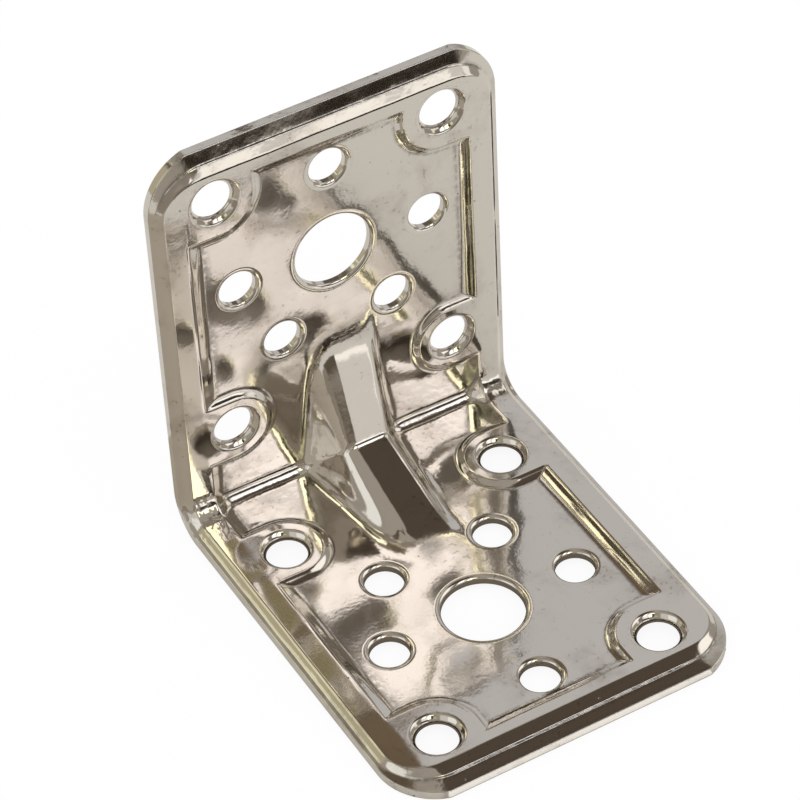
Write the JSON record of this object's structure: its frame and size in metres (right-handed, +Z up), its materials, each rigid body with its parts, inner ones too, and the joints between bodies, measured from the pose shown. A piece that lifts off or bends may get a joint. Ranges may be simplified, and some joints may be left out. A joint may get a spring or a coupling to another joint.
{
  "type": "angle bracket",
  "caption": "Pressed steel angle bracket, bright-plated, with raised rims, a stiffening gusset across the bend and countersunk corner holes.",
  "frame": {"origin": "middle of the corner line where the two faces that the bracket is screwed to meet", "axes": "+Z up along the upright flange, -Y along the base flange, +X along the bend"},
  "size_m": [0.041, 0.05, 0.05],
  "materials": {
    "angle_bracket": "polished"
  },
  "bodies": {
    "root": {"angle_bracket": "angle_bracket"}
  },
  "joints": []
}
